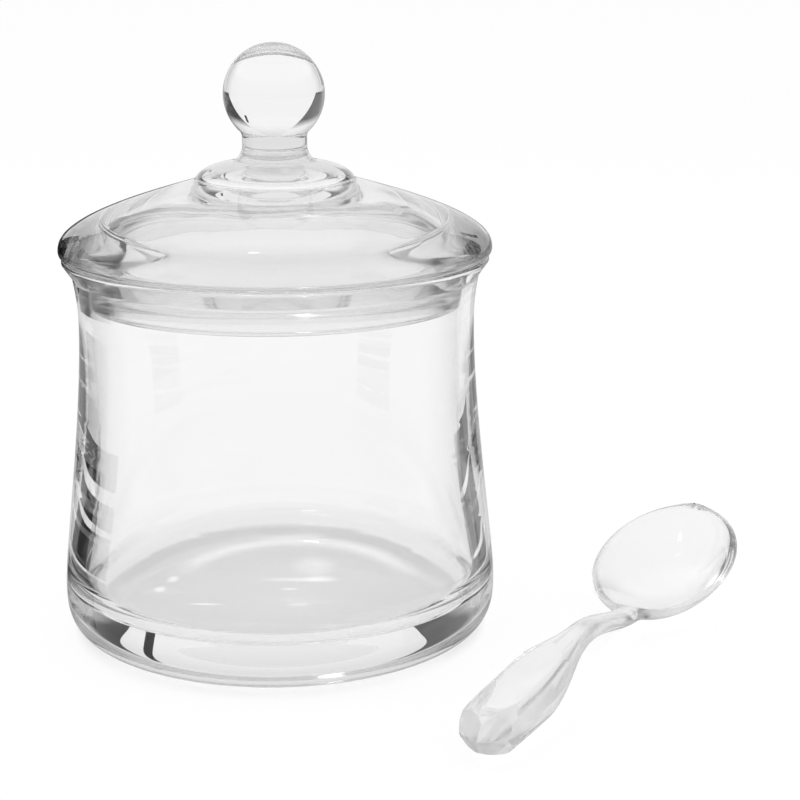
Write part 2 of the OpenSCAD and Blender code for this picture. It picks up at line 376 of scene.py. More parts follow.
def pot_outline():
    """Section of the pot from the middle of its foot, round the rim, to the middle of its floor."""
    crease_z = pot_h - lip_h
    wall_rise = waist_h - belly_h
    flare_rise = crease_z - waist_h
    mouth_foot_z = pot_h - mouth_h
    cavity_foot_z = floor_t + floor_round
    cavity_rise = mouth_foot_z - cavity_foot_z
    points = [Vector((0, 0)), Vector((foot_r, 0))]
    points += heel(long_steps)
    points += curve(
        (belly_r, belly_h),
        (belly_r, belly_h + wall_rise * wall_pull_shares[0]),
        (waist_r, waist_h - wall_rise * wall_pull_shares[1]),
        (waist_r, waist_h),
        long_steps,
    )
    points += curve(
        (waist_r, waist_h),
        (waist_r, waist_h + flare_rise * flare_pull_shares[0]),
        (mix(waist_r, crease_r, flare_lean_share), crease_z - flare_rise * flare_pull_shares[1]),
        (crease_r, crease_z),
        short_steps,
    )
    points += [Vector((lip_r, pot_h - rim_round))]
    points += arc((lip_r - rim_round, pot_h - rim_round), rim_round, rim_round, 0, 90, short_steps)
    points += [Vector((mouth_r + rim_round, pot_h))]
    points += arc((mouth_r + rim_round, pot_h - rim_round), rim_round, rim_round, 90, 180, short_steps)
    points += [Vector((mouth_r, mouth_foot_z))]
    points += curve(
        (mouth_r, mouth_foot_z),
        (mouth_r, mouth_foot_z - cavity_rise * cavity_pull_shares[1]),
        (cavity_r, cavity_foot_z + cavity_rise * cavity_pull_shares[0]),
        (cavity_r, cavity_foot_z),
        wall_steps,
    )
    points += arc((cavity_r - floor_round, cavity_foot_z), floor_round, floor_round, 0, -90, short_steps)
    points += [Vector((0, floor_t))]
    return points


def lid_outline():
    """Section of the lid and its knob from the top of the ball, round the bead, to the top of the hollow."""
    seat_z = pot_h
    bead_z = seat_z + bead_h
    shoulder_z = seat_z + shoulder_h
    collar_foot_z = seat_z + collar_foot_h
    collar_z = collar_foot_z + collar_h
    hollow_z = seat_z + hollow_h
    side_z = seat_z + hollow_side_h
    ball_z = collar_z + ball_h
    neck_meet_z = ball_z - math.sqrt(ball_r * ball_r - neck_r * neck_r)
    neck_straight_z = mix(collar_z, neck_meet_z, neck_foot_rise_share)
    neck_angle = math.degrees(math.asin((neck_meet_z - ball_z) / ball_r))
    plug_r = mouth_r - plug_clearance
    plug_in_r = plug_r - plug_wall
    plug_z = seat_z - plug_h
    plug_edge = plug_wall * plug_edge_share
    points = [Vector((0, ball_z + ball_r))]
    points += arc((0, ball_z), ball_r, ball_r, 90, neck_angle, ball_steps)
    points += [Vector((neck_r, neck_straight_z))]
    points += curve(
        (neck_r, neck_straight_z),
        (neck_r, mix(collar_z, neck_straight_z, neck_pull_shares[1])),
        (mix(neck_foot_r, neck_r, neck_pull_shares[1]), mix(collar_z, neck_straight_z, neck_pull_shares[0])),
        (neck_foot_r, collar_z),
        short_steps,
    )
    points += curve(
        (neck_foot_r, collar_z),
        (
            mix(collar_r, neck_foot_r, collar_run_shares[1]),
            mix(collar_foot_z, collar_z, collar_rise_shares[1]),
        ),
        (
            mix(collar_r, neck_foot_r, collar_run_shares[0]),
            mix(collar_foot_z, collar_z, collar_rise_shares[0]),
        ),
        (collar_r, collar_foot_z),
        short_steps,
    )
    points += curve(
        (collar_r, collar_foot_z),
        (
            mix(shoulder_r, collar_r, dome_run_shares[1]),
            mix(shoulder_z, collar_foot_z, dome_rise_shares[1]),
        ),
        (
            mix(shoulder_r, collar_r, dome_run_shares[0]),
            mix(shoulder_z, collar_foot_z, dome_rise_shares[0]),
        ),
        (shoulder_r, shoulder_z),
        long_steps,
    )
    points += curve(
        (shoulder_r, shoulder_z),
        (mix(shoulder_r, lid_r, bead_pull_shares[2]), mix(shoulder_z, bead_z, bead_pull_shares[1])),
        (lid_r, mix(bead_z, shoulder_z, bead_pull_shares[0])),
        (lid_r, bead_z),
        short_steps,
    )
    points += arc((lid_r - bead_h, bead_z), bead_h, bead_h - seat_gap, 0, -90, short_steps)
    points += [Vector((plug_r, seat_z + seat_gap)), Vector((plug_r, plug_z + plug_edge))]
    points += arc((plug_r - plug_edge, plug_z + plug_edge), plug_edge, plug_edge, 0, -90, short_steps)
    points += [Vector((plug_in_r + plug_edge, plug_z))]
    points += arc((plug_in_r + plug_edge, plug_z + plug_edge), plug_edge, plug_edge, 270, 180, short_steps)
    points += [Vector((plug_in_r, side_z))]
    points += curve(
        (plug_in_r, side_z),
        (plug_in_r * hollow_run_shares[0], mix(side_z, hollow_z, hollow_rise_share)),
        (plug_in_r * hollow_run_shares[1], hollow_z),
        (0, hollow_z),
        long_steps,
    )
    return points


def turned(outline, corners):
    """Solid of revolution: an outline whose named corners are rounded, spun once round the axis."""
    bm = bmesh.new()
    chain = [bm.verts.new((r, 0, z)) for r, z in outline]
    for a, b in zip(chain, chain[1:]):
        bm.edges.new((a, b))
    for corner, radius in corners:
        nearest = min(bm.verts, key=lambda v: (Vector((v.co.x, v.co.z)) - Vector(corner)).length)
        bmesh.ops.bevel(
            bm,
            geom=[nearest],
            offset=radius,
            offset_type="OFFSET",
            affect="VERTICES",
            segments=short_steps,
            profile=0.5,
            material=-1,
        )
    bmesh.ops.spin(
        bm,
        geom=bm.verts[:] + bm.edges[:],
        cent=(0, 0, 0),
        axis=(0, 0, 1),
        angle=2 * math.pi,
        steps=turn_steps,
        use_merge=True,
    )
    bmesh.ops.remove_doubles(bm, verts=bm.verts, dist=merge_gap)
    bmesh.ops.recalc_face_normals(bm, faces=bm.faces)
    return bm


def worked_pot(bm):
    """Gives the pot's inner wall and floor their tool rings and a slow waver."""
    bm.normal_update()
    inner_r = cavity_r + ring_width
    for v in bm.verts:
        out = Vector((v.co.x, v.co.y))
        inside = v.normal.xy.dot(out) < 0 or v.normal.z > floor_facing
        if not inside or v.co.z < floor_t / 2 or v.co.z > pot_h - mouth_h or out.length > inner_r:
            continue
        slow = noise.noise(v.co / waver_length)
        move = wall_waver * slow
        for height in ring_heights:
            swing = (v.co.z - height) / ring_width + slow
            move += ring_depth * math.exp(-swing * swing) * (1 + slow)
        v.co += v.normal * move


def worked_lid(bm):
    """Gives the lid's hollow a slow waver."""
    bm.normal_update()
    hollow_r = mouth_r - plug_clearance - plug_wall / 2
    for v in bm.verts:
        faces_down = v.normal.z < 0
        if faces_down and v.co.xy.length < hollow_r and v.co.z > pot_h - plug_h:
            v.co += v.normal * hollow_waver * noise.noise(v.co / waver_length)


def swell(t):
    """Swell of the handle along its length: 1 at its widest, 0 where the neck starts."""
    if t < handle_widest_share:
        return 1 - handle_taper_share * ((handle_widest_share - t) / handle_widest_share) ** 2
    return (1 + math.cos(math.pi * (t - handle_widest_share) / (1 - handle_widest_share))) / 2


def handle_section(half_w, half_t):
    """Points round the handle's full section, from the middle of its right side."""
    points = []
    for k in range(section_points):
        angle = 2 * math.pi * k / section_points
        across, up = math.cos(angle), math.sin(angle)
        y = math.copysign(abs(across) ** (2 / handle_power), across)
        z = math.copysign(abs(up) ** (2 / handle_power), up)
        points.append((y * half_w, z * half_t))
    return points


def round_section(half_w, thick, power, u):
    """Points round a rounded section under the rim plane, hollowed where the bowl is."""
    points = []
    for k in range(section_points):
        angle = 2 * math.pi * k / section_points
        y = half_w * math.cos(angle)
        edge = 1 - math.sqrt(max(0, 1 - abs(math.cos(angle)) ** power))
        top = -bowl_depth * max(0, 1 - u * u - (2 * y / bowl_w) ** 2)
        fall = thick / 2 * edge
        points.append((y, top - fall if math.sin(angle) >= 0 else top - thick + fall))
    return points


def placed(x, z, pitch, section):
    """A section set across the spoon at a place along it, turned by the pitch there."""
    return [Vector((x - h * math.sin(pitch), y, z + h * math.cos(pitch))) for y, h in section]


def spoon_rings():
    """Sections of the spoon from the end of its handle to the tip of its bowl."""
    half = bowl_l / 2
    touch_share = -half * math.tan(bowl_tilt) / (2 * bowl_depth)
    touch_drop = bowl_wall + bowl_depth * (1 - touch_share * touch_share)
    heel_z = spoon_lift + math.cos(bowl_tilt) * touch_drop - half * math.sin(bowl_tilt) * (1 + touch_share)
    handle_z = spoon_lift + handle_t / 2
    arch_z = spoon_lift + arch_h
    heel_x = handle_l + neck_l
    rings = []

    def handle_ring(x, end_share):
        t = x / handle_l
        half_w = mix(spoon_neck_w, handle_w, swell(t)) / 2 * end_share
        half_t = mix(spoon_neck_t, handle_t, swell(t)) / 2 * end_share
        rings.append(placed(x, mix(handle_z, arch_z, ease(t)), 0, handle_section(half_w, half_t)))

    for i in range(1, end_steps + 1):
        angle = math.pi / 2 * i / end_steps
        handle_ring(handle_end_l * (1 - math.cos(angle)), math.sin(angle))
    for i in range(1, handle_steps):
        handle_ring(mix(handle_end_l, handle_l, i / handle_steps), 1)
    for i in range(neck_steps):
        t = i / neck_steps
        cut = handle_section(spoon_neck_w / 2, spoon_neck_t / 2)
        smooth = round_section(spoon_neck_w / 2, spoon_neck_t, neck_edge_power, 1)
        section = [
            (mix(a[0], b[0], t), mix(a[1] - spoon_neck_t / 2, b[1], t)) for a, b in zip(cut, smooth)
        ]
        z = mix(arch_z + spoon_neck_t / 2, heel_z + heel_rise, ease(t))
        rings.append(placed(handle_l + neck_l * t, z, bowl_tilt * t * t, section))
    for i in range(bowl_steps + 1):
        angle = mix(bowl_first, bowl_last, i / bowl_steps)
        u = -math.cos(angle)
        near_heel = angle < math.pi / 2
        heel_share = (1 - math.sin(angle)) ** 2 if near_heel else 0
        plan = bowl_w / 2 * math.sin(angle)
        stem = spoon_neck_w / 2 * math.cos(angle) if near_heel else 0
        half_w = (plan**bowl_blend_power + stem**bowl_blend_power) ** (1 / bowl_blend_power)
        thick = mix(bowl_wall, spoon_neck_t, heel_share)
        power = mix(bowl_edge_power, neck_edge_power, heel_share)
        along = half * (1 + u)
        rim_z = heel_z + along * math.sin(bowl_tilt) + heel_rise * heel_share
        section = round_section(half_w, thick, power, u)
        rings.append(placed(heel_x + along * math.cos(bowl_tilt), rim_z, bowl_tilt, section))
    return rings, heel_x + half * math.cos(bowl_tilt)


def ring_edges(bm, ring):
    """Edges round a closed ring of vertices."""
    return [bm.edges.get(pair) for pair in zip(ring, ring[1:] + ring[:1])]


def drawn_on(bm, ring, places):
    """Extrudes a ring of vertices by one step and puts the new ring at its places."""
    made = bmesh.ops.extrude_edge_only(bm, edges=ring_edges(bm, ring))["geom"]
    fresh = {v for v in made if isinstance(v, bmesh.types.BMVert)}
    step = [next(e.other_vert(v) for e in v.link_edges if e.other_vert(v) in fresh) for v in ring]
    for v, place in zip(step, places):
        v.co = place
    return step


def cut_facets(bm):
    """Cuts the flat facets on the handle, each to its depth, with crisp edges."""
    smooth_form = [v.co.copy() for v in bm.verts if v.co.x < handle_l]
    for facing, depth in handle_facets:
        facing = Vector(facing).normalized()
        reach = max(facing.dot(p) for p in smooth_form) - depth
        faces = [f for f in bm.faces if all(v.co.x < handle_l for v in f.verts)]
        near = {x for f in faces for x in (f, *f.verts, *f.edges)}
        cut = bmesh.ops.bisect_plane(
            bm,
            geom=list(near),
            dist=merge_gap,
            plane_co=facing * reach,
            plane_no=facing,
            clear_outer=True,
        )["geom_cut"]
        rim = [x for x in cut if isinstance(x, bmesh.types.BMEdge)]
        facet = bmesh.ops.holes_fill(bm, edges=rim, sides=0)["faces"]
        for edge in {e for f in facet for e in f.edges}:
            edge.smooth = False
    bmesh.ops.recalc_face_normals(bm, faces=bm.faces)


def spoon_mesh():
    """Spoon drawn out ring by ring, closed at both ends and laid beside the pot."""
    bm = bmesh.new()
    rings, bowl_mid_x = spoon_rings()
    ring = bmesh.ops.create_circle(bm, segments=section_points, radius=handle_w)["verts"]
    for v, place in zip(ring, rings[0]):
        v.co = place
    ends = [ring_edges(bm, ring)]
    for places in rings[1:]:
        ring = drawn_on(bm, ring, places)
    ends.append(ring_edges(bm, ring))
    for edges in ends:
        cap = bmesh.ops.edgeloop_fill(bm, edges=edges)["faces"]
        bmesh.ops.poke(bm, faces=cap)
    bmesh.ops.recalc_face_normals(bm, faces=bm.faces)
    cut_facets(bm)
    lay = (
        Matrix.Translation((belly_r + spoon_away, spoon_back, 0))
        @ Matrix.Rotation(spoon_turn, 4, "Z")
        @ Matrix.Translation((-bowl_mid_x, 0, 0))
    )
    bmesh.ops.transform(bm, matrix=lay, verts=bm.verts)
    return bm


def finished(name, bm, material, body, nodes):
    """Turns a mesh in millimetres into a piece of the object that stands for its nodes."""
    bmesh.ops.scale(bm, vec=(MM, MM, MM), verts=bm.verts)
    for face in bm.faces:
        face.smooth = True
    mesh = bpy.data.meshes.new(name)
    bm.to_mesh(mesh)
    bm.free()
    mesh.materials.append(material)
    piece = bpy.data.objects.new(name, mesh)
    bpy.context.collection.objects.link(piece)
    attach(piece, body)
    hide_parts(*nodes)
    return piece


def node(tree, kind, inputs=None, **settings):
    """Adds a shader node with its settings and its plain input values."""
    made = tree.nodes.new("ShaderNode" + kind)
    for key, value in settings.items():
        setattr(made, key, value)
    for key, value in (inputs or {}).items():
        made.inputs[key].default_value = value
    return made


def join(tree, links):
    """Links pairs of sockets, each from an output to an input."""
    for start, end in links:
        tree.links.new(start, end)


def new_material(name):
    """Empty node material with its output node."""
    material = bpy.data.materials.new(name)
    material.use_nodes = True
    tree = material.node_tree
    tree.nodes.clear()
    return material, tree, node(tree, "OutputMaterial")


def grey_color(grey):
    """Opaque colour of one grey."""
    return (grey, grey, grey, 1.0)


def clear_surface_group():
    """Faint unevenness that every clear piece shares: drawn-out waves, finger marks and a tint."""
    tree = bpy.data.node_groups.new("clear_surface", "ShaderNodeTree")
    face = tree.interface
    for name in ("Wave Scale", "Mark Scale", "Roughest"):
        face.new_socket(name, in_out="INPUT", socket_type="NodeSocketFloat")
    for name in ("Clear Color", "Cloudy Color"):
        face.new_socket(name, in_out="INPUT", socket_type="NodeSocketColor")
    face.new_socket("Color", in_out="OUTPUT", socket_type="NodeSocketColor")
    face.new_socket("Roughness", in_out="OUTPUT", socket_type="NodeSocketFloat")
    face.new_socket("Height", in_out="OUTPUT", socket_type="NodeSocketFloat")
    inside = tree.nodes.new("NodeGroupInput")
    outside = tree.nodes.new("NodeGroupOutput")
    places = node(tree, "TexCoord")
    waves = node(tree, "TexNoise", {"Detail": wave_detail, "Roughness": wave_roughness})
    marks = node(tree, "TexNoise", {"Detail": mark_detail, "Roughness": mark_roughness})
    spread = node(tree, "MapRange", {"From Min": mark_range[0], "From Max": mark_range[1], "To Min": 0.0})
    tint = node(tree, "Mix", data_type="RGBA")
    links = (
        (places.outputs["Object"], waves.inputs["Vector"]),
        (places.outputs["Object"], marks.inputs["Vector"]),
        (inside.outputs["Wave Scale"], waves.inputs["Scale"]),
        (inside.outputs["Mark Scale"], marks.inputs["Scale"]),
        (marks.outputs["Fac"], spread.inputs["Value"]),
        (inside.outputs["Roughest"], spread.inputs["To Max"]),
        (marks.outputs["Fac"], tint.inputs["Factor"]),
        (inside.outputs["Clear Color"], tint.inputs["A"]),
        (inside.outputs["Cloudy Color"], tint.inputs["B"]),
        (tint.outputs["Result"], outside.inputs["Color"]),
        (spread.outputs["Result"], outside.inputs["Roughness"]),
        (waves.outputs["Fac"], outside.inputs["Height"]),
    )
    join(tree, links)
    return tree


def clear_material(name, group, finish):
    """Clear glass or acrylic that lets lamps through, with painted shade at grazing edges, and ground at its
    seat.
    """
    material, tree, output = new_material(name)
    surface = node(tree, "Group", node_tree=group)
    surface.inputs["Wave Scale"].default_value = finish["wave_scale"]
    surface.inputs["Mark Scale"].default_value = mark_scale
    surface.inputs["Clear Color"].default_value = grey_color(finish["clear_grey"])
    surface.inputs["Cloudy Color"].default_value = grey_color(finish["cloudy_grey"])
    surface.inputs["Roughest"].default_value = finish["roughest"]
    bump = node(tree, "Bump", {"Strength": 1.0, "Distance": finish["wave_height"] * MM})
    body = node(tree, "BsdfPrincipled", {"IOR": finish["ior"], "Transmission Weight": 1.0, "Metallic": 0.0})
    passing = node(tree, "BsdfTransparent", {"Color": shadow_tint})
    path = node(tree, "LightPath")
    both = node(tree, "MixShader")
    # Painted shade: the base colour turns dark grey at grazing edges, by a share that goes by the height
    facing = node(tree, "LayerWeight", {"Blend": facing_blend})
    grazing = node(tree, "MapRange", {"From Min": grazing_range[0], "From Max": grazing_range[1]})
    edge_shade_amount = node(tree, "Math", operation="MULTIPLY")
    edge_shaded = node(tree, "Mix", {7: grey_color(painted_edge_shade)}, data_type="RGBA")
    depth = node(tree, "VolumeAbsorption", {"Color": depth_tint, "Density": finish["absorption"]})
    places = node(tree, "TexCoord")
    split = node(tree, "SeparateXYZ")
    tree.links.new(places.outputs["Object"], split.inputs["Vector"])
    color = greyed_by_height(tree, surface.outputs["Color"], split.outputs["Z"], finish["greys"])
    edge_shade_share = by_height(tree, split.outputs["Z"], finish["edge"])
    low, high, roughness = finish["ground"]
    seat = node(tree, "MapRange", {"From Min": low * MM, "From Max": high * MM, "To Max": roughness})
    rough = node(tree, "Math", operation="MAXIMUM")
    links = (
        (depth.outputs["Volume"], output.inputs["Volume"]),
        (facing.outputs["Facing"], grazing.inputs["Value"]),
        (grazing.outputs["Result"], edge_shade_amount.inputs[0]),
        (edge_shade_share, edge_shade_amount.inputs[1]),
        (edge_shade_amount.outputs[0], edge_shaded.inputs[0]),
        (color, edge_shaded.inputs[6]),
        (edge_shaded.outputs[2], body.inputs["Base Color"]),
        (split.outputs["Z"], seat.inputs["Value"]),
        (surface.outputs["Roughness"], rough.inputs[0]),
        (seat.outputs["Result"], rough.inputs[1]),
        (rough.outputs[0], body.inputs["Roughness"]),
        (surface.outputs["Height"], bump.inputs["Height"]),
        (bump.outputs["Normal"], body.inputs["Normal"]),
        (path.outputs["Is Shadow Ray"], both.inputs["Fac"]),
        (body.outputs["BSDF"], both.inputs[1]),
        (passing.outputs["BSDF"], both.inputs[2]),
        (both.outputs["Shader"], output.inputs["Surface"]),
    )
    join(tree, links)
    return material


def grey_ramp(tree, stops):
    """Ramp of greys at the given places."""
    ramp = node(tree, "ValToRGB")
    elements = ramp.color_ramp.elements
    elements.remove(elements[1])
    elements[0].position = stops[0][0]
    for place, grey in stops[1:]:
        elements.new(place)
    for stop, (place, grey) in zip(elements, stops):
        stop.color = grey_color(grey)
    return ramp


def by_height(tree, z, greys):
    """Grey that changes with the height on a piece."""
    low = greys[0][0] * MM
    high = greys[-1][0] * MM
    height = node(tree, "MapRange", {"From Min": low, "From Max": high})
    ramp = grey_ramp(tree, [((at * MM - low) / (high - low), grey) for at, grey in greys])
    tree.links.new(z, height.inputs["Value"])
    tree.links.new(height.outputs["Result"], ramp.inputs["Fac"])
    return ramp.outputs["Color"]


def greyed_by_height(tree, color, z, height_greys):
    """Colour that turns greyer where the piece is thick, by the height on it."""
    tinted = node(tree, "Mix", {0: 1.0}, data_type="RGBA", blend_type="MULTIPLY")
    tree.links.new(color, tinted.inputs[6])
    tree.links.new(by_height(tree, z, height_greys), tinted.inputs[7])
    return tinted.outputs[2]


def seen_share(tree, most):
    """Value that is high for rays that show a surface: from the camera, a mirror or glass."""
    path = node(tree, "LightPath")
    first = node(tree, "Math", operation="MAXIMUM")
    second = node(tree, "Math", operation="MAXIMUM")
    share = node(tree, "Math", {1: most}, operation="MULTIPLY")
    tree.links.new(path.outputs["Is Camera Ray"], first.inputs[0])
    tree.links.new(path.outputs["Is Glossy Ray"], first.inputs[1])
    tree.links.new(first.outputs[0], second.inputs[0])
    tree.links.new(path.outputs["Is Transmission Ray"], second.inputs[1])
    tree.links.new(second.outputs[0], share.inputs[0])
    return share.outputs[0]


def light_under_glass(tree):
    """Painted light and shade on the table under the pot: a shadow, a dark shadow at the edge under the heel,
    a bright crescent, streaks and glints of light.
    """
    places = node(tree, "TexCoord")
    split = node(tree, "SeparateXYZ")
    flat = node(tree, "CombineXYZ")
    distance = node(tree, "VectorMath", operation="LENGTH")
    reach = node(tree, "MapRange", {"From Max": shade_r})
    shade = grey_ramp(tree, shade_greys)
    edge = grey_ramp(tree, edge_greys)
    behind_range = {"From Min": edge_from, "From Max": edge_full, "To Min": edge_front_share}
    behind = node(tree, "MapRange", behind_range)
    dark = node(tree, "Math", operation="MULTIPLY")
    shaded = node(tree, "Math", operation="SUBTRACT")
    middle = node(tree, "VectorMath", {1: (*crescent_place, 0)}, operation="DISTANCE")
    off = node(tree, "Math", {1: crescent_r}, operation="SUBTRACT")
    near = node(tree, "Math", operation="ABSOLUTE")
    line_range = {"From Max": crescent_w, "To Min": 1.0, "To Max": 0.0}
    line = node(tree, "MapRange", line_range, interpolation_type="SMOOTHSTEP")
    back = node(tree, "MapRange", {"From Min": crescent_from, "From Max": crescent_full})
    crescent = node(tree, "Math", operation="MULTIPLY")
    stretch = node(tree, "Mapping", {"Scale": streak_scale})
    noise_field = node(tree, "TexNoise", {"Scale": 1.0, "Detail": streak_detail})
    streak_from, streak_to = streak_range
    streak = node(tree, "MapRange", {"From Min": streak_from, "From Max": streak_to, "To Max": streak_light})
    inner = node(tree, "MapRange", {"From Min": streak_r, "From Max": streak_r * streak_inner_share})
    streaked = node(tree, "Math", operation="MULTIPLY_ADD")
    total = node(tree, "Math", {1: crescent_light}, operation="MULTIPLY_ADD")
    links = (
        (places.outputs["Object"], split.inputs["Vector"]),
        (split.outputs["X"], flat.inputs["X"]),
        (split.outputs["Y"], flat.inputs["Y"]),
        (flat.outputs["Vector"], distance.inputs[0]),
        (distance.outputs["Value"], reach.inputs["Value"]),
        (reach.outputs["Result"], shade.inputs["Fac"]),
        (reach.outputs["Result"], edge.inputs["Fac"]),
        (split.outputs["Y"], behind.inputs["Value"]),
        (edge.outputs["Color"], dark.inputs[0]),
        (behind.outputs["Result"], dark.inputs[1]),
        (shade.outputs["Color"], shaded.inputs[0]),
        (dark.outputs[0], shaded.inputs[1]),
        (flat.outputs["Vector"], middle.inputs[0]),
        (middle.outputs["Value"], off.inputs[0]),
        (off.outputs[0], near.inputs[0]),
        (near.outputs[0], line.inputs["Value"]),
        (split.outputs["Y"], back.inputs["Value"]),
        (line.outputs["Result"], crescent.inputs[0]),
        (back.outputs["Result"], crescent.inputs[1]),
        (flat.outputs["Vector"], stretch.inputs["Vector"]),
        (stretch.outputs["Vector"], noise_field.inputs["Vector"]),
        (noise_field.outputs["Fac"], streak.inputs["Value"]),
        (distance.outputs["Value"], inner.inputs["Value"]),
        (streak.outputs["Result"], streaked.inputs[0]),
        (inner.outputs["Result"], streaked.inputs[1]),
        (shaded.outputs[0], streaked.inputs[2]),
        (crescent.outputs[0], total.inputs[0]),
        (streaked.outputs[0], total.inputs[2]),
    )
    join(tree, links)
    lit = total.outputs[0]
    # Painted glints of light, each added on top of the painted shade
    for place, half, light in glints:
        from_place = node(tree, "VectorMath", {1: (*place, 0)}, operation="SUBTRACT")
        by_size = node(tree, "VectorMath", {1: (*half, 1)}, operation="DIVIDE")
        away = node(tree, "VectorMath", operation="LENGTH")
        glow_range = {"From Min": glint_fade[0], "From Max": glint_fade[1], "To Max": light}
        glow = node(tree, "MapRange", glow_range, interpolation_type="SMOOTHSTEP")
        added = node(tree, "Math", operation="ADD")
        tree.links.new(flat.outputs["Vector"], from_place.inputs[0])
        tree.links.new(from_place.outputs["Vector"], by_size.inputs[0])
        tree.links.new(by_size.outputs["Vector"], away.inputs[0])
        tree.links.new(away.outputs["Value"], glow.inputs["Value"])
        tree.links.new(lit, added.inputs[0])
        tree.links.new(glow.outputs["Result"], added.inputs[1])
        lit = added.outputs[0]
    return lit


def pale_floor_material():
    """White table: plain white where it is seen, darker in mirrors, with painted light and shade under the
    pot and a part of the lamp's light kept.
    """
    material, tree, output = new_material("pale_floor")
    lit = node(tree, "BsdfDiffuse", {"Color": grey_color(table_grey)})
    white = node(tree, "Emission", {"Strength": 1.0})
    both = node(tree, "MixShader")
    path = node(tree, "LightPath")
    mirrored = node(tree, "Math", operation="SUBTRACT", use_clamp=True)
    dimmed = node(tree, "MapRange", {"To Min": 1.0, "To Max": mirrored_share})
    shown = node(tree, "Math", operation="MULTIPLY")
    tree.links.new(path.outputs["Is Glossy Ray"], mirrored.inputs[0])
    tree.links.new(path.outputs["Is Transmission Ray"], mirrored.inputs[1])
    tree.links.new(mirrored.outputs[0], dimmed.inputs["Value"])
    tree.links.new(dimmed.outputs["Result"], shown.inputs[0])
    # Painted shadow and light under the pot, seen through the glass
    tree.links.new(light_under_glass(tree), shown.inputs[1])
    tree.links.new(shown.outputs[0], white.inputs["Color"])
    tree.links.new(seen_share(tree, table_white_share), both.inputs["Fac"])
    tree.links.new(lit.outputs["BSDF"], both.inputs[1])
    tree.links.new(white.outputs["Emission"], both.inputs[2])
    tree.links.new(both.outputs["Shader"], output.inputs["Surface"])
    return material


def card_material(name, grey):
    """Matt board of one grey."""
    material, tree, output = new_material(name)
    board = node(tree, "Emission", {"Color": grey_color(grey), "Strength": 1.0})
    tree.links.new(board.outputs["Emission"], output.inputs["Surface"])
    return material


def stage_object(name, bm, material):
    """Puts a mesh in metres on the stage."""
    mesh = bpy.data.meshes.new(name)
    bm.to_mesh(mesh)
    bm.free()
    mesh.materials.append(material)
    made = bpy.data.objects.new(name, mesh)
    bpy.context.collection.objects.link(made)
    return made


def make_camera():
    """Camera at the photograph's viewing angle."""
    data = bpy.data.cameras.new("camera")
    data.lens = camera_lens
    data.sensor_width = camera_sensor
    camera = bpy.data.objects.new("camera", data)
    camera.location = camera_place
    camera.rotation_euler = (camera_tilt, 0, 0)
    bpy.context.collection.objects.link(camera)
    bpy.context.scene.camera = camera
    return camera


def make_floor():
    """Wide pale table just under the foot."""
    bm = bmesh.new()
    bmesh.ops.create_circle(bm, cap_ends=True, segments=table_steps, radius=table_r)
    bmesh.ops.translate(bm, vec=(0, 0, -table_drop), verts=bm.verts)
    stage_object("floor", bm, pale_floor_material())


def follow(made, camera):
    """Makes a card go with the camera, unseen by it, so that only clear pieces show it."""
    camera_frame = Matrix.Translation(camera.location) @ camera.rotation_euler.to_matrix().to_4x4()
    made.parent = camera
    made.matrix_parent_inverse = camera_frame.inverted()
    made.visible_camera = False
    made.visible_diffuse = False
    made.visible_shadow = False


def make_cards(camera, rows, through):
    """Small cards beside the pot, which draw the edges of its walls, seen through glass or only mirrored."""
    stand = Matrix.Rotation(math.pi / 2, 4, "X")
    for name, first, last, low, high, lean, grey in rows:
        run = Vector(last) - Vector(first)
        middle = (Vector(first) + Vector(last)) / 2
        bm = bmesh.new()
        bmesh.ops.create_grid(bm, x_segments=1, y_segments=1, size=unit_half)
        bmesh.ops.scale(bm, vec=(run.length, high - low, 1), verts=bm.verts)
        leaning = Matrix.Rotation(math.radians(lean), 4, "Z")
        turn = Matrix.Rotation(math.atan2(run.y, run.x), 4, "Z")
        place = Matrix.Translation((middle.x, middle.y, (low + high) / 2))
        bmesh.ops.transform(bm, matrix=place @ turn @ stand @ leaning, verts=bm.verts)
        card = stage_object(name, bm, card_material(name, grey))
        card.visible_transmission = through
        follow(card, camera)


def lean_normal():
    """Normal of the plane through the right leaning end, towards the opening."""
    foot = Vector((math.sin(lean_foot), math.cos(lean_foot), 0))
    flat_head = Vector((math.sin(lean_head), math.cos(lean_head), 0)) * math.cos(lean_rise)
    head = flat_head + Vector((0, 0, math.sin(lean_rise)))
    return head.cross(foot).normalized()


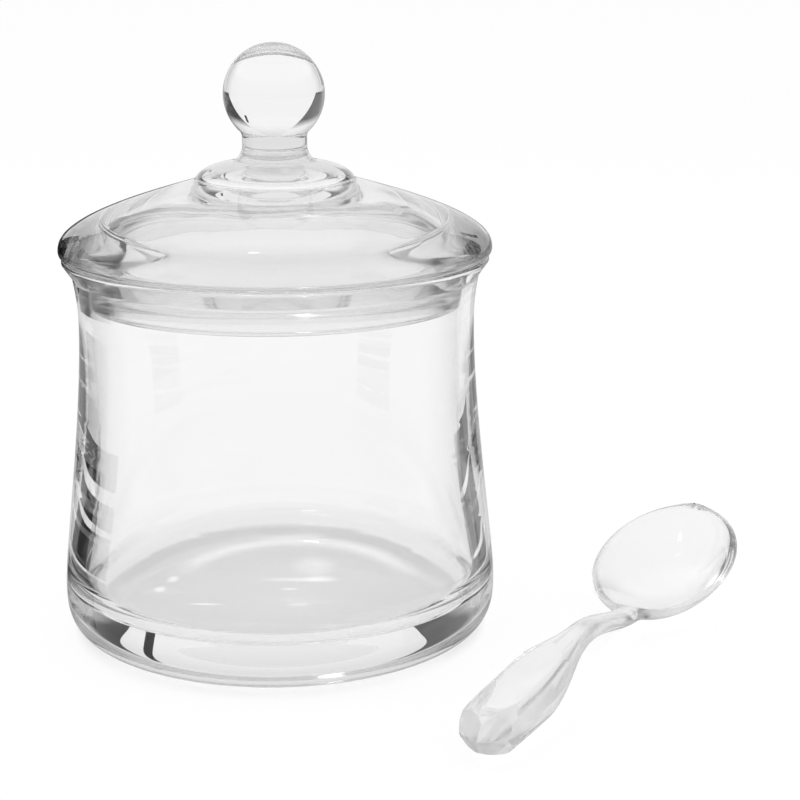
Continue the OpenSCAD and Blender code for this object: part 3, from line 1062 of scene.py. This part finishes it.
def surround_material():
    """Grey paper, darker beside the object than behind the camera, that fades out at its top."""
    material, tree, output = new_material("surround_paper")
    places = node(tree, "TexCoord")
    split = node(tree, "SeparateXYZ")
    side = node(tree, "MapRange", {"From Min": -surround_r, "From Max": surround_r})
    greys = grey_ramp(tree, surround_greys)
    left_x = -surround_r * surround_left_share
    left = node(tree, "MapRange", {"From Min": 0.0, "From Max": left_x, "To Max": surround_left_grey})
    lifted = node(tree, "Math", operation="MAXIMUM")
    rise = node(tree, "MapRange", {"From Max": surround_h})
    end_ramp = grey_ramp(tree, end_greys)
    mirrored = node(tree, "VectorMath", operation="ABSOLUTE")
    inside = node(tree, "VectorMath", {1: -lean_normal()}, operation="DOT_PRODUCT")
    eye = lean_normal().z * lean_eye
    border = node(tree, "MapRange", {"From Min": lean_border[0] - eye, "From Max": lean_border[1] - eye})
    end = node(tree, "Math", operation="MULTIPLY")
    both = node(tree, "Math", operation="MAXIMUM")
    fade = node(tree, "MapRange", {"From Min": surround_fade[0], "From Max": surround_fade[1]})
    grey = node(tree, "Mix", {7: grey_color(1.0)}, data_type="RGBA")
    paper = node(tree, "Emission", {"Strength": 1.0})
    links = (
        (places.outputs["Object"], split.inputs["Vector"]),
        (split.outputs["Y"], side.inputs["Value"]),
        (split.outputs["Z"], fade.inputs["Value"]),
        (side.outputs["Result"], greys.inputs["Fac"]),
        (fade.outputs["Result"], grey.inputs[0]),
        (split.outputs["X"], left.inputs["Value"]),
        (greys.outputs["Color"], lifted.inputs[0]),
        (left.outputs["Result"], lifted.inputs[1]),
        (split.outputs["Z"], rise.inputs["Value"]),
        (rise.outputs["Result"], end_ramp.inputs["Fac"]),
        (places.outputs["Object"], mirrored.inputs[0]),
        (mirrored.outputs["Vector"], inside.inputs[0]),
        (inside.outputs["Value"], border.inputs["Value"]),
        (end_ramp.outputs["Color"], end.inputs[0]),
        (border.outputs["Result"], end.inputs[1]),
        (lifted.outputs[0], both.inputs[0]),
        (end.outputs[0], both.inputs[1]),
        (both.outputs[0], grey.inputs[6]),
        (grey.outputs[2], paper.inputs["Color"]),
        (paper.outputs["Emission"], output.inputs["Surface"]),
    )
    join(tree, links)
    return material


def make_surround(camera):
    """Curved paper round the object and the camera, open to the back between two leaning ends."""
    bm = bmesh.new()
    low = bm.verts.new((-surround_r * math.sin(surround_gap), surround_r * math.cos(surround_gap), 0))
    high = bm.verts.new((low.co.x, low.co.y, surround_h))
    rim = bm.edges.new((low, high))
    bmesh.ops.spin(
        bm,
        geom=[low, high, rim],
        cent=(0, 0, 0),
        axis=(0, 0, 1),
        angle=2 * math.pi - 2 * surround_gap,
        steps=surround_steps,
    )
    for side in (1, -1):
        middles = [(f, f.calc_center_median()) for f in bm.faces]
        faces = [f for f, middle in middles if middle.x * side > 0 and middle.y > 0]
        near = {x for f in faces for x in (f, *f.verts, *f.edges)}
        across = lean_normal()
        across.x *= side
        bmesh.ops.bisect_plane(
            bm,
            geom=list(near),
            dist=merge_gap * MM,
            plane_co=(0, 0, lean_eye),
            plane_no=across,
            clear_outer=True,
        )
    follow(stage_object("surround", bm, surround_material()), camera)


def make_world():
    """White surroundings with a darker ceiling, and a softer level for the light that they give."""
    world = bpy.data.worlds.new("studio")
    bpy.context.scene.world = world
    world.use_nodes = True
    tree = world.node_tree
    tree.nodes.clear()
    output = node(tree, "OutputWorld")
    places = node(tree, "TexCoord")
    split = node(tree, "SeparateXYZ")
    ramp = grey_ramp(tree, sky_greys)
    shown = node(tree, "Background", {"Strength": 1.0})
    light = node(tree, "Background", {"Color": grey_color(1.0), "Strength": sky_light})
    both = node(tree, "MixShader")
    tree.links.new(places.outputs["Generated"], split.inputs[0])
    tree.links.new(split.outputs["Z"], ramp.inputs["Fac"])
    tree.links.new(ramp.outputs["Color"], shown.inputs["Color"])
    tree.links.new(seen_share(tree, 1.0), both.inputs["Fac"])
    tree.links.new(light.outputs["Background"], both.inputs[1])
    tree.links.new(shown.outputs["Background"], both.inputs[2])
    tree.links.new(both.outputs["Shader"], output.inputs["Surface"])


def area_lamp(name, place, target, size, power):
    """Soft box at a place, turned to a target."""
    data = bpy.data.lights.new(name, "AREA")
    data.shape = "DISK"
    data.size = size
    data.energy = power
    lamp = bpy.data.objects.new(name, data)
    lamp.location = place
    lamp.rotation_euler = (Vector(target) - Vector(place)).to_track_quat("-Z", "Y").to_euler()
    lamp.visible_glossy = False
    bpy.context.collection.objects.link(lamp)


camera = make_camera()
make_floor()
make_cards(camera, cards, True)
make_cards(camera, mirror_cards, False)
make_surround(camera)
make_world()
area_lamp("top_lamp", lamp_place, lamp_target, lamp_size, lamp_power)

clear_group = clear_surface_group()
pot_glass = clear_material("pot_glass", clear_group, pot_finish)
lid_glass = clear_material("lid_glass", clear_group, lid_finish)
acrylic = clear_material("spoon_acrylic", clear_group, spoon_finish)

crease = (crease_r, pot_h - lip_h)
pot_mesh = turned(pot_outline(), [(crease, crease_round)])
worked_pot(pot_mesh)
finished("jam_pot", pot_mesh, pot_glass, "pot", ["pot"])

ball_z = pot_h + collar_foot_h + collar_h + ball_h
neck_meet = (neck_r, ball_z - math.sqrt(ball_r * ball_r - neck_r * neck_r))
hollow_edge = (mouth_r - plug_clearance - plug_wall, pot_h + hollow_side_h)
lid_mesh = turned(lid_outline(), [(neck_meet, neck_fillet), (hollow_edge, hollow_round)])
worked_lid(lid_mesh)
finished("jam_pot_lid", lid_mesh, lid_glass, "lid", ["lid", "lid_knob"])

finished("jam_spoon", spoon_mesh(), acrylic, "spoon", ["spoon"])

scene = bpy.context.scene
scene.cycles.max_bounces = most_bounces
scene.cycles.glossy_bounces = mirror_bounces
scene.cycles.transmission_bounces = glass_bounces
scene.view_settings.view_transform = "Standard"
